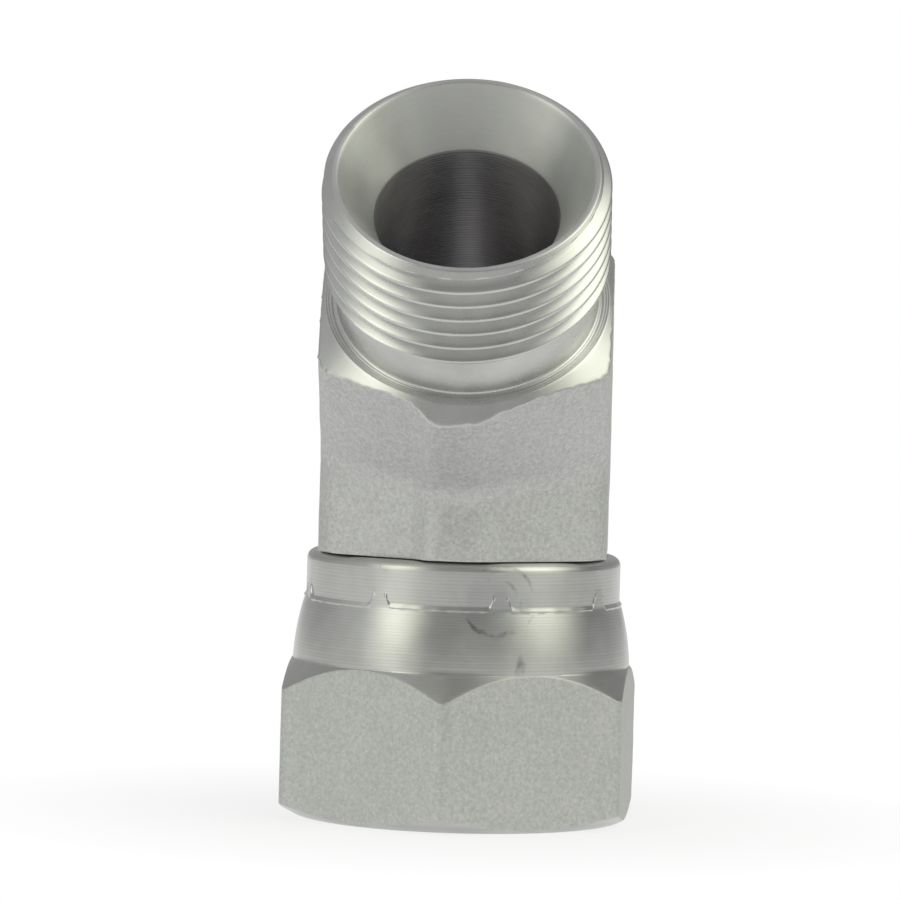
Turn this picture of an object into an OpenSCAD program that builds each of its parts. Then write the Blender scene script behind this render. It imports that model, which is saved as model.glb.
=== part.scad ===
// Forty-five degree elbow fitting, zinc-plated steel, G 3/4 thread size.
// A forged and turned elbow body ends in a male thread with a 60 degree cone seat,
// and a hexagon swivel nut is crimped onto the stem at its other end.
// Millimetres, +Z up. The origin is the centre of the nut's open end face,
// the nut's axis is Z, and the male arm leans towards -Y.

/* [Elbow] */
// Angle between the two arms' axes
bend_angle = 45; // [15:1:75]
// Height of the bend point above the nut's open end
bend_height = 37.4; // [34:0.1:46]
// Across flats of the forged block
block_across_flats = 27; // [26.5:0.1:28.5]
// Diameter of the circle that the block's rounded corners lie on
block_corner_d = 30.3; // [30:0.1:31]
// How far the forged faces beside the land bulge
face_bulge = 0.35; // [0:0.05:0.6]
// Distance of the flat land, left by the trimmed forging flash, from the block's centre line
land_reach = 14.9; // [14.2:0.1:15.4]
// Width of the land
land_width = 3.9; // [2:0.1:6]
// Sideways shift of the land, from the mismatch of the forging dies
land_shift = -0.65; // [-1.5:0.05:1.5]
// Width of the flank that blends the land's shifted side into the block
land_flank = 2; // [1:0.1:3]
// Length of the lower arm, from the bend point to the turned bottom face
lower_arm = 12.3; // [9:0.1:16]
// Radius where the corner chamfer of the bottom face begins
foot_chamfer_start = 14.9; // [13.8:0.1:15]
// Slope of that chamfer from the face
foot_chamfer_angle = 30; // [15:1:45]

/* [Turned shoulder] */
// Distance from the bend point to the flat ring at the foot of the neck
shoulder_reach = 17; // [15:0.1:22]
// Outer diameter of the flat ring
shoulder_ring_d = 26.4; // [25.5:0.1:26.9]
// Slope of the cone that trims the block outside the ring
shoulder_slope = 40; // [20:1:50]
// Chamfer-like fillet between the neck and the ring
neck_fillet = 0.3; // [0.1:0.05:0.6]

/* [Male end] */
// Distance from the bend point to the male end face
male_reach = 33.4; // [30:0.1:45]
// Major diameter of the male thread
male_major_d = 26.44; // [25.8:0.01:26.8]
// Diameter of the neck behind the thread
neck_d = 24.1; // [22.5:0.1:24.6]
// Length of the neck
neck_length = 4.7; // [2:0.1:8]
// Slope of the thread's run-out into the neck, from the axis
runout_angle = 45; // [20:1:60]
// Outer diameter of the end face, inside the lead chamfer
male_face_d = 24.4; // [23.9:0.1:25.4]
// Slope of the lead chamfer, from the axis
lead_angle = 45; // [30:1:60]
// Mouth diameter of the cone seat
seat_mouth_d = 23.46; // [21.5:0.02:23.7]
// Included angle of the cone seat and of the nose that fits such a seat
seat_angle = 60; // [40:1:90]
// Bore of the male arm
male_bore_d = 17; // [10:0.1:19]

/* [Swivel stem] */
// Bore of the stem
stem_bore_d = 15; // [8:0.1:16.4]
// Diameter of the nose at its tip
nose_tip_d = 17.8; // [17:0.1:20]
// Height of the nose tip above the nut's open end
nose_tip_height = 11.2; // [9:0.1:12.5]
// Diameter of the collar that the nut pulls on
collar_d = 24; // [23:0.1:24]
// Length of the collar's cylinder
collar_length = 2.7; // [1.5:0.1:3.2]
// Slope of the collar's back shoulder, from the axis
collar_back_angle = 45; // [35:1:60]
// Diameter of the stem above the collar
stem_neck_d = 21.2; // [19:0.1:21.4]
// Angle of the drill point at the inner end of each bore
drill_point = 118; // [90:1:140]

/* [Swivel nut] */
// Across flats of the nut's hexagon
nut_across_flats = 32; // [31:0.5:36]
// Turn of the nut at rest, from a corner facing -Y
nut_turn = -3.4; // [-30:0.1:30]
// Height of the hexagon's corners
hex_corner_height = 12; // [8:0.1:14]
// Slope of the hexagon's upper chamfer, from the face
hex_top_angle = 47; // [30:0.5:60]
// Diameter of the nut's open end face
end_face_d = 31; // [29:0.1:31.9]
// Slope of the hexagon's lower chamfer, from the face
hex_bottom_angle = 27; // [15:1:45]
// Diameter of the bore that the internal thread is cut into
thread_bore_d = 24.12; // [23.6:0.01:24.5]
// Mouth diameter of the thread's lead-in chamfer
mouth_d = 27.2; // [26.6:0.1:29]
// Slope of the lead-in chamfer, from the axis
mouth_angle = 45; // [30:1:60]
// Height where the internal thread ends in its relief, below the nose tip
thread_end = 11; // [9:0.1:12.4]
// Width of the relief, which takes the end of the mating male thread
relief_width = 5.4; // [4:0.1:6]
// Diameter of the relief
relief_d = 27; // [26.6:0.1:28]

/* [Crimped collar of the nut] */
// Diameter of the turned sleeve before it was crimped
sleeve_d = 31.9; // [31:0.1:31.9]
// Height where the crimping began to bend the sleeve
bend_start = 13.6; // [13.2:0.1:17]
// Radius of the bend in the sleeve
sleeve_bend_radius = 23.2; // [22:0.1:60]
// Diameter of the band that the crimping dies left
band_d = 29.5; // [27.5:0.1:29.7]
// Height of the lower edge of the band
band_start = 20.6; // [18:0.1:22]
// Radius of the rim's rounded edge
rim_radius = 0.9; // [0.3:0.1:1.6]
// Number of crimping dies
die_count = 8; // [4:1:12]
// Angle of the first ridge between two dies, from -Y
die_turn = 15.5; // [0:0.5:45]
// Width of the ridge that stands between two dies
ridge_width = 1.5; // [0.5:0.1:3]
// Height over which a ridge fades out
ridge_height = 3; // [1:0.1:4]
// How far a ridge stays below the ledge
ridge_drop = 0.03; // [0.01:0.01:0.08]
// Bore of the crimped lip
lip_bore_d = 22; // [21.6:0.1:23.4]

/* [Fits] */
// Radial clearance between the stem's collar and the nut
collar_clearance = 0.08; // [0.05:0.01:0.1]
// Axial play between the collar's back shoulder and the nut's lip
shoulder_play = 0.35; // [0.2:0.05:0.6]
// Gap between the nut's rim and the block
rim_gap = 0.1; // [0.1:0.05:0.6]

/* [Hidden] */
STEEL_FORGED = [0.60, 0.61, 0.59];
STEEL_TURNED = [0.66, 0.67, 0.65];
// Facets of round forms
ROUND = 128;
// Steps of a rounded stretch in an outline
ARC_STEPS = 8;
// Steps of a bulging face in the block's outline
BULGE_STEPS = 4;
// Length by which a cutter or a joined solid runs past a face
PAST = 1;
// Number of sides of a hexagon
SIX = 6;

block_half = block_across_flats / 2;
block_corner = block_half / cos(30);
block_side = block_half * tan(30);
corner_r = block_corner_d / 2;
foot_height = bend_height - lower_arm;
thread_r = male_major_d / 2;
neck_r = neck_d / 2;
neck_end = shoulder_reach + neck_length;
runout_end = neck_end + (thread_r - neck_r) / tan(runout_angle);
lead_start = male_reach - (thread_r - male_face_d / 2) / tan(lead_angle);
seat_half = seat_angle / 2;
seat_depth = (seat_mouth_d - male_bore_d) / 2 / tan(seat_half);
block_reach = block_corner + PAST;

nose_base = nose_tip_height + (collar_d - nose_tip_d) / 2 / tan(seat_half);
collar_top = nose_base + collar_length;
collar_back = collar_top + (collar_d - stem_neck_d) / 2 / tan(collar_back_angle);

nut_top = foot_height - rim_gap;
nut_corner = nut_across_flats / 2 / cos(30);
hex_top = hex_corner_height + (nut_corner - sleeve_d / 2) * tan(hex_top_angle);
hex_bottom = (nut_corner - end_face_d / 2) * tan(hex_bottom_angle);
rear_bore_r = collar_d / 2 + collar_clearance;
lip_start = collar_top + shoulder_play;
lip_full = lip_start + (rear_bore_r - lip_bore_d / 2) / tan(collar_back_angle);
relief_end = thread_end + relief_width;
mouth_depth = (mouth_d - thread_bore_d) / 2 / tan(mouth_angle);

// Radius of the bent sleeve at a height
function sleeve_r(z) =
    sleeve_d / 2 - sleeve_bend_radius + sqrt(pow(sleeve_bend_radius, 2) - pow(max(0, z - bend_start), 2));
ledge_r = max(sleeve_r(band_start), band_d / 2);

// Moves what is drawn in an arm's own frame, with Z along the arm, onto the male arm
module on_male_arm() {
    translate([0, 0, bend_height]) rotate([bend_angle, 0, 0]) children();
}

// Height of the block's plain hexagon outline above its centre line, at a place across it
function block_crown(x) = block_corner - abs(x) * tan(30);

// Points of a face between two places of an outline, without the last, bulging to its left
function bulging(from, to) = [
    for (i = [0:BULGE_STEPS - 1]) let (t = i / BULGE_STEPS, run = to - from)
        from + run * t + [-run[1], run[0]] / norm(run) * face_bulge * 4 * t * (1 - t)
];

// Outline of the forged block, with a flash land at the front and at the back
module block_section() {
    left = land_shift - land_width / 2;
    right = land_shift + land_width / 2;
    foot = left - land_flank;
    crown = [right, min(land_reach, block_crown(right))];
    half = concat(
        bulging([-block_half, block_side], [foot, block_crown(foot)]),
        [[foot, block_crown(foot)], [left, land_reach]],
        bulging(crown, [block_half, block_side]), [[block_half, block_side]]
    );
    polygon([
        for (i = [0:len(half) - 1]) half[i],
        for (i = [len(half) - 1:-1:0]) [half[i][0], -half[i][1]]
    ]);
}

// Half-space above the mitre plane, which passes through the bend point
module above_mitre() {
    span = 4 * block_reach;
    translate([0, 0, bend_height]) rotate([bend_angle / 2, 0, 0])
        translate([-span / 2, -span / 2, 0]) cube(span);
}

// Half-space below the mitre plane
module below_mitre() {
    span = 4 * block_reach;
    translate([0, 0, bend_height]) rotate([bend_angle / 2, 0, 0])
        translate([-span / 2, -span / 2, -span]) cube(span);
}

// Lower arm of the block, trimmed by the turned foot
module lower_block() {
    top = bend_height + block_reach;
    rim = foot_height + (corner_r - foot_chamfer_start) * tan(foot_chamfer_angle);
    difference() {
        intersection() {
            translate([0, 0, foot_height]) linear_extrude(top - foot_height) block_section();
            rotate_extrude($fn = ROUND) polygon([
                [0, foot_height], [foot_chamfer_start, foot_height], [corner_r, rim],
                [corner_r, top], [0, top]
            ]);
        }
        above_mitre();
    }
}

// Upper arm of the block, trimmed by the turned shoulder
module upper_block() {
    ring_r = shoulder_ring_d / 2;
    rim = shoulder_reach - (corner_r - ring_r) * tan(shoulder_slope);
    difference() {
        on_male_arm() intersection() {
            translate([0, 0, -block_reach]) linear_extrude(block_reach + male_reach) block_section();
            rotate_extrude($fn = ROUND) polygon([
                [0, -block_reach], [corner_r, -block_reach], [corner_r, rim],
                [ring_r, shoulder_reach], [0, shoulder_reach]
            ]);
        }
        below_mitre();
    }
}

// Core of the bend, well inside both arms, which joins them across the mitre
module bend_core() {
    translate([0, 0, bend_height]) sphere(r = block_half - PAST, $fn = ROUND);
}

// Neck and threaded spigot of the male arm
module male_spigot() {
    on_male_arm() rotate_extrude($fn = ROUND) polygon([
        [0, shoulder_reach - PAST], [neck_r + neck_fillet, shoulder_reach - PAST],
        [neck_r + neck_fillet, shoulder_reach], [neck_r, shoulder_reach + neck_fillet],
        [neck_r, neck_end], [thread_r, runout_end], [thread_r, lead_start],
        [male_face_d / 2, male_reach], [0, male_reach]
    ]);
}

// Stem with the collar and the 60 degree nose that the nut pulls into a seat
module stem() {
    rotate_extrude($fn = ROUND) polygon([
        [0, nose_tip_height], [nose_tip_d / 2, nose_tip_height], [collar_d / 2, nose_base],
        [collar_d / 2, collar_top], [stem_neck_d / 2, collar_back],
        [stem_neck_d / 2, foot_height + PAST], [0, foot_height + PAST]
    ]);
}

// Bore drilled down the male arm, with the cone seat at its mouth
module male_passage() {
    bore_r = male_bore_d / 2;
    on_male_arm() rotate_extrude($fn = ROUND) polygon([
        [0, -bore_r / tan(drill_point / 2)], [bore_r, 0], [bore_r, male_reach - seat_depth],
        [seat_mouth_d / 2, male_reach], [seat_mouth_d / 2, male_reach + PAST], [0, male_reach + PAST]
    ]);
}

// Bore drilled up the stem until it meets the other one
module stem_passage() {
    bore_r = stem_bore_d / 2;
    rotate_extrude($fn = ROUND) polygon([
        [0, nose_tip_height - PAST], [bore_r, nose_tip_height - PAST], [bore_r, bend_height],
        [0, bend_height + bore_r / tan(drill_point / 2)]
    ]);
}

// Forged and turned body: block, male spigot and stem in one piece, drilled from both ends
module elbow_body() {
    color(STEEL_FORGED) difference() {
        union() {
            lower_block();
            upper_block();
            bend_core();
            male_spigot();
            stem();
        }
        male_passage();
        stem_passage();
    }
}

// Hexagon of the nut, chamfered by cones that run past its corners and on inside the sleeve
module nut_hexagon() {
    rim_r = nut_corner + PAST;
    low_rim = hex_bottom + PAST * tan(hex_bottom_angle);
    high_rim = hex_corner_height - PAST * tan(hex_top_angle);
    core_top = hex_top + PAST * tan(hex_top_angle);
    intersection() {
        rotate([0, 0, nut_turn - 90]) cylinder(h = core_top, r = nut_corner, $fn = SIX);
        rotate_extrude($fn = ROUND) polygon([
            [0, 0], [end_face_d / 2, 0], [rim_r, low_rim], [rim_r, high_rim],
            [sleeve_d / 2 - PAST, core_top], [0, core_top]
        ]);
    }
}

// Sleeve above the hexagon, bent inwards by the crimping, with its band and rounded rim
module nut_sleeve() {
    band_r = band_d / 2;
    foot = min(bend_start, hex_top) - PAST;
    rotate_extrude($fn = ROUND) polygon([
        [0, foot], [sleeve_d / 2, foot],
        for (i = [0:ARC_STEPS]) let (z = bend_start + (band_start - bend_start) * i / ARC_STEPS)
            [sleeve_r(z), z],
        [band_r, band_start],
        for (i = [0:ARC_STEPS]) let (a = 90 * i / ARC_STEPS)
            [band_r - rim_radius * (1 - cos(a)), nut_top - rim_radius * (1 - sin(a))],
        [0, nut_top]
    ]);
}

// Ridges left between neighbouring crimping dies, full at the ledge and fading towards the rim
module die_ridges() {
    band_r = band_d / 2;
    turn = 2 * asin(ridge_width / band_d);
    for (i = [0:die_count - 1])
        rotate([0, 0, die_turn - 90 - turn / 2 + 360 * i / die_count])
            rotate_extrude(angle = turn, $fn = ROUND) polygon([
                [band_r - PAST, band_start - PAST], [ledge_r - ridge_drop, band_start - PAST],
                [ledge_r - ridge_drop, band_start], [band_r - ridge_drop, band_start + ridge_height],
                [band_r - PAST, band_start + ridge_height]
            ]);
}

// Hollow of the nut: lead-in, thread bore, relief, rear bore and crimped lip
module nut_hollow() {
    rotate_extrude($fn = ROUND) polygon([
        [0, -PAST], [mouth_d / 2, -PAST], [mouth_d / 2, 0], [thread_bore_d / 2, mouth_depth],
        [thread_bore_d / 2, thread_end], [relief_d / 2, thread_end], [relief_d / 2, relief_end],
        [rear_bore_r, relief_end], [rear_bore_r, lip_start], [lip_bore_d / 2, lip_full],
        [lip_bore_d / 2, nut_top + PAST], [0, nut_top + PAST]
    ]);
}

// Hexagon swivel nut, crimped over the stem's collar
module swivel_nut() {
    color(STEEL_TURNED) difference() {
        union() {
            nut_hexagon();
            nut_sleeve();
            die_ridges();
        }
        nut_hollow();
    }
}

elbow_body();
swivel_nut();
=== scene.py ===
# Looks of a forty-five degree elbow fitting: forged and turned body, crimped swivel nut
# Sizes are in millimetres until a mesh is made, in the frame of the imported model
import math

import bpy
import numpy as np
from mathutils import Matrix, Vector, noise


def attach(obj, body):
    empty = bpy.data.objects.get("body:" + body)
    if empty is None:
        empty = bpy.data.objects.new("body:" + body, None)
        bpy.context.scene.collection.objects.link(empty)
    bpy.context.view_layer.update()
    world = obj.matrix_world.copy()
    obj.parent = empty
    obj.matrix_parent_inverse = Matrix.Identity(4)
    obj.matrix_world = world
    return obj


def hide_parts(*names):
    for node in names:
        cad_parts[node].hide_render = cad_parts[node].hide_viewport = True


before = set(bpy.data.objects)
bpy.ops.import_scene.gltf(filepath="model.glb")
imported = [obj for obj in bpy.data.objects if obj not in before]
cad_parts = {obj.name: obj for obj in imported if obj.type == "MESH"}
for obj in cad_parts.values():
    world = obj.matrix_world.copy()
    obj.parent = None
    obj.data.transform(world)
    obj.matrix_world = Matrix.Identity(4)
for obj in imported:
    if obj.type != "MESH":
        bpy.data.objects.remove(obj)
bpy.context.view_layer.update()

MM = 0.001

# Thread G 3/4, and the 60 degree cones that seal it
PITCH = 1.814
THREAD_R = 13.22
ROOT_R = 12.06
THREAD_COLUMNS = 288
THREAD_UNEVENNESS = 0.02
CONE_SLOPE = math.tan(math.radians(30))

# Stem that the nut is crimped on
STEM_BORE_R = 7.5
BORE_EDGE = 0.25
NOSE_TIP = 11.2
NOSE_TIP_R = 8.9
COLLAR_R = 12.0
COLLAR_LENGTH = 2.7
STEM_NECK_R = 10.6
NOSE_BASE = NOSE_TIP + (COLLAR_R - NOSE_TIP_R) / CONE_SLOPE
COLLAR_TOP = NOSE_BASE + COLLAR_LENGTH
COLLAR_BACK = COLLAR_TOP + COLLAR_R - STEM_NECK_R

# Gaps between the nut and the body
RIM_GAP = 0.1
COLLAR_CLEARANCE = 0.08
SHOULDER_PLAY = 0.35

# Nut sizes
NUT_HALF = 16.0
NUT_CORNER = NUT_HALF / math.cos(math.radians(30))
NUT_TURN = math.radians(-3.4)
NUT_COLUMNS = 620
# How far the hexagon's corners are rounded off, and over what angle
CORNER_ROUND = 0.16
CORNER_SPAN = 0.016
HEX_CORNER_HEIGHT = 12.0
HEX_TOP_SLOPE = math.tan(math.radians(47))
HEX_TOP_R = 15.922
HEX_TOP = HEX_CORNER_HEIGHT + (NUT_CORNER - HEX_TOP_R) * HEX_TOP_SLOPE
HEX_BOTTOM_SLOPE = math.tan(math.radians(27))
END_FACE_R = 15.5
SLEEVE_R = 15.95
BEND_START = 13.6
SLEEVE_BEND = 24.5
BAND_R = 14.85
BAND_START = 20.6
NUT_TOP = 25.0
RIM_RADIUS = 0.9
LIP_R = 11.0
REAR_BORE_R = COLLAR_R + COLLAR_CLEARANCE
LIP_START = COLLAR_TOP + SHOULDER_PLAY
LIP_FULL = LIP_START + REAR_BORE_R - LIP_R
RELIEF_END = 16.4
RELIEF_R = 13.5
THREAD_END = 11.0
MOUTH_R = 13.6
MOUTH_DEPTH = MOUTH_R - ROOT_R

# Marks of the crimping dies, with how far each die's ledge sits off the even line and its band stands out
DIES = 8
DIE_TURN = math.radians(15.5)
DIE_DROPS = (0.02, -0.06, 0.05, 0.0, -0.04, 0.07, -0.02, 0.03)
DIE_BULGES = (0.02, 0.0, -0.03, 0.01, 0.03, -0.02, 0.0, 0.02)
RIDGE_WIDTH = 1.3
RIDGE_HEIGHT = 1.9
CURL_HEIGHT = 1.1
CURL_WIDTH = 0.28

# Forged block
BEND_HEIGHT = 37.4
BEND = math.radians(45)
HALF_TURN = math.tan(BEND / 2)
BEND_RADIUS = 5.0
BEND_SPREAD = 0.12
BLOCK_HALF = 13.5
FACE_SLOPE = math.tan(math.radians(30))
CORNER_RADIUS = 2.8
FACE_BULGE = 0.35
# Spacing of the outline's points along its rounded corners and along its faces
ARC_STEP = 0.12
FACE_STEP = 0.45
# Flash land: how far out it lies, its foot and its two sides across the block, and the rounding of each
LAND_REACH = 14.9
LAND_FOOT, LAND_LEFT, LAND_RIGHT = -4.6, -2.6, 1.3
LAND_ROUNDS = (4.0, 2.6, 3.0)
FOOT = NUT_TOP + RIM_GAP
FOOT_CHAMFER_START = 14.9
FOOT_CHAMFER = math.tan(math.radians(30))

# Turned male end, by distance from the bend along the arm
SHOULDER = 17.0
RING_R = 13.2
SHOULDER_SLOPE = math.tan(math.radians(40))
# Tool grooves on the shoulder's ring: radius and depth
RING_GROOVES = ((12.46, 0.05), (12.78, 0.035), (13.0, 0.03))
GROOVE_WIDTH = 0.055
NECK_R = 12.05
NECK_FILLET = 0.3
NECK_END = 21.1
MALE_REACH = 33.4
FACE_R = 12.2
SEAT_R = 11.73
MALE_BORE_R = 8.5
SEAT_END = MALE_REACH - (SEAT_R - MALE_BORE_R) / CONE_SLOPE
DRILL_SLOPE = math.tan(math.radians(59))
# Where the mesh of the threaded end meets that of the forged block
JOINT_S = 16.6

# Edges that bend less than this are shaded smooth
SMOOTH_ANGLE = math.radians(38)


# Mesh helpers

def bend_frame(s, x, w):
    """Points of the male arm, at s along it, x across and w in the plane of the bend."""
    sine = math.sin(BEND)
    cosine = math.cos(BEND)
    return np.stack([x, -sine * s + cosine * w, BEND_HEIGHT + cosine * s + sine * w], axis=-1)


def nut_frame(z, x, y):
    """Points of the nut's arm, at height z."""
    return np.stack([x, y, z], axis=-1)


def closed_mesh(name, rows, finishes, materials):
    """A piece from rings of points, joined to each other and back to the first, with faces outwards."""
    rows = np.asarray(rows, float)
    count, around = rows.shape[:2]
    i, j = np.meshgrid(np.arange(count), np.arange(around), indexing="ij")
    i2, j2 = (i + 1) % count, (j + 1) % around
    faces = np.stack([i * around + j, i * around + j2, i2 * around + j2, i2 * around + j], axis=-1)
    points = rows.reshape(-1, 3) * MM
    quads = faces.reshape(-1, 4)
    a, b, c, d = (points[quads[:, k]] for k in range(4))
    volume = np.einsum("ij,ij->", a, np.cross(b, c)) + np.einsum("ij,ij->", a, np.cross(c, d))
    if volume < 0:
        quads = quads[:, ::-1]
    mesh = bpy.data.meshes.new(name)
    mesh.from_pydata(points.tolist(), [], quads.tolist())
    finish_mesh(mesh)
    for material in materials:
        mesh.materials.append(material)
    mesh.polygons.foreach_set("material_index", np.repeat(np.asarray(finishes), around))
    piece = bpy.data.objects.new(name, mesh)
    bpy.context.scene.collection.objects.link(piece)
    return piece


def finish_mesh(mesh):
    """Smooth shading, with a sharp edge wherever the faces bend more."""
    mesh.polygons.foreach_set("use_smooth", np.ones(len(mesh.polygons), bool))
    mesh.set_sharp_from_angle(angle=SMOOTH_ANGLE)
    mesh.update()


def line(points, step):
    """Points along a run of straight stretches, at most a step apart."""
    out = []
    for (r1, z1), (r2, z2) in zip(points[:-1], points[1:]):
        count = max(1, int(math.ceil(math.hypot(r2 - r1, z2 - z1) / step)))
        for k in range(count):
            out.append((r1 + (r2 - r1) * k / count, z1 + (z2 - z1) * k / count))
    out.append(points[-1])
    return out


def lumps(points, size, depth):
    """Gentle unevenness of a forged skin: a push for each point, in millimetres."""
    return np.array([noise.noise(Vector(p) / size) * depth for p in points])


# Outline of the forged block

def rounded_outline(corners, step):
    """Closed outline through corners (x, w, radius), each rounded, with points at most a step apart."""
    count = len(corners)
    out = []
    arcs = []
    for k in range(count):
        p = np.array(corners[k][:2])
        before = np.array(corners[k - 1][:2]) - p
        after = np.array(corners[(k + 1) % count][:2]) - p
        before /= np.linalg.norm(before)
        after /= np.linalg.norm(after)
        half = math.acos(np.clip(before @ after, -1, 1)) / 2
        radius = corners[k][2]
        reach = radius / math.tan(half)
        centre = p + (before + after) / np.linalg.norm(before + after) * radius / math.sin(half)
        start, end = p + before * reach - centre, p + after * reach - centre
        a0 = math.atan2(start[1], start[0])
        turn = (math.atan2(end[1], end[0]) - a0 + math.pi) % (2 * math.pi) - math.pi
        steps = max(4, int(abs(turn) * radius / ARC_STEP))
        angles = [a0 + turn * t / steps for t in range(steps + 1)]
        arcs.append([centre + radius * np.array([math.cos(a), math.sin(a)]) for a in angles])
    for k, arc in enumerate(arcs):
        out.extend(arc)
        a, b = arc[-1], arcs[(k + 1) % count][0]
        steps = max(1, int(np.linalg.norm(b - a) / step))
        out.extend(a + (b - a) * t / steps for t in range(1, steps))
    return np.array(out)


def block_outline():
    """Hexagon with bulging forged faces, rounded corners and a flash land at the front and the back."""

    def crown(x):
        """How far out the hexagon's slanted faces lie at x."""
        return (2 * BLOCK_HALF - abs(x)) * FACE_SLOPE

    side = BLOCK_HALF * FACE_SLOPE
    foot_round, left_round, right_round = LAND_ROUNDS
    front = [(-BLOCK_HALF, -side, CORNER_RADIUS), (LAND_FOOT, -crown(LAND_FOOT), foot_round),
             (LAND_LEFT, -LAND_REACH, left_round), (LAND_RIGHT, -crown(LAND_RIGHT), right_round),
             (BLOCK_HALF, -side, CORNER_RADIUS)]
    back = [(x, -w, radius) for x, w, radius in reversed(front)]
    outline = rounded_outline(front + back, FACE_STEP)
    x, w = outline[:, 0], outline[:, 1]
    left = (x + BLOCK_HALF) / (LAND_FOOT + BLOCK_HALF)
    right = (BLOCK_HALF - x) / (BLOCK_HALF - LAND_RIGHT)
    along = np.clip(np.where(x < 0, left, right), 0, 1)
    bulge = FACE_BULGE * 4 * along * (1 - along)
    sideways = np.sign(x) * 0.5 * bulge
    outwards = np.sign(w) * math.cos(math.radians(30)) * bulge
    return outline + np.stack([sideways, outwards], axis=-1)


# Forged body with its bend, turned shoulder, foot, stem and passages

def drilled_meeting(cosine, sine):
    """Where each line down the wall of the male bore ends, and where it breaks into the stem's bore."""
    depth = MALE_BORE_R / DRILL_SLOPE

    def down(t):
        """Point after a share t of the way from the wall's top to the drill point's tip."""
        s = JOINT_S - t * (JOINT_S + depth)
        r = np.where(s >= 0, MALE_BORE_R, (s + depth) * DRILL_SLOPE)
        return s, bend_frame(s, r * cosine, r * sine)

    def open_to_stem(t):
        """Whether the stem's drill has cut away the point after a share t."""
        point = down(t)[1]
        above = np.maximum(point[:, 2] - BEND_HEIGHT, 0)
        return STEM_BORE_R - above * DRILL_SLOPE >= np.hypot(point[:, 0], point[:, 1])

    steps, halvings = 240, 30
    high = np.ones_like(cosine)
    for t in np.linspace(1, 0, steps + 1):
        hit = open_to_stem(np.full_like(cosine, t))
        high = np.where(hit, t, high)
    low = high - 1 / steps
    for _ in range(halvings):
        middle = (low + high) / 2
        hit = open_to_stem(middle)
        high = np.where(hit, middle, high)
        low = np.where(hit, low, middle)
    s, meet = down(high)
    corner = np.maximum(s + 0.05, 0)
    return corner, meet


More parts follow.
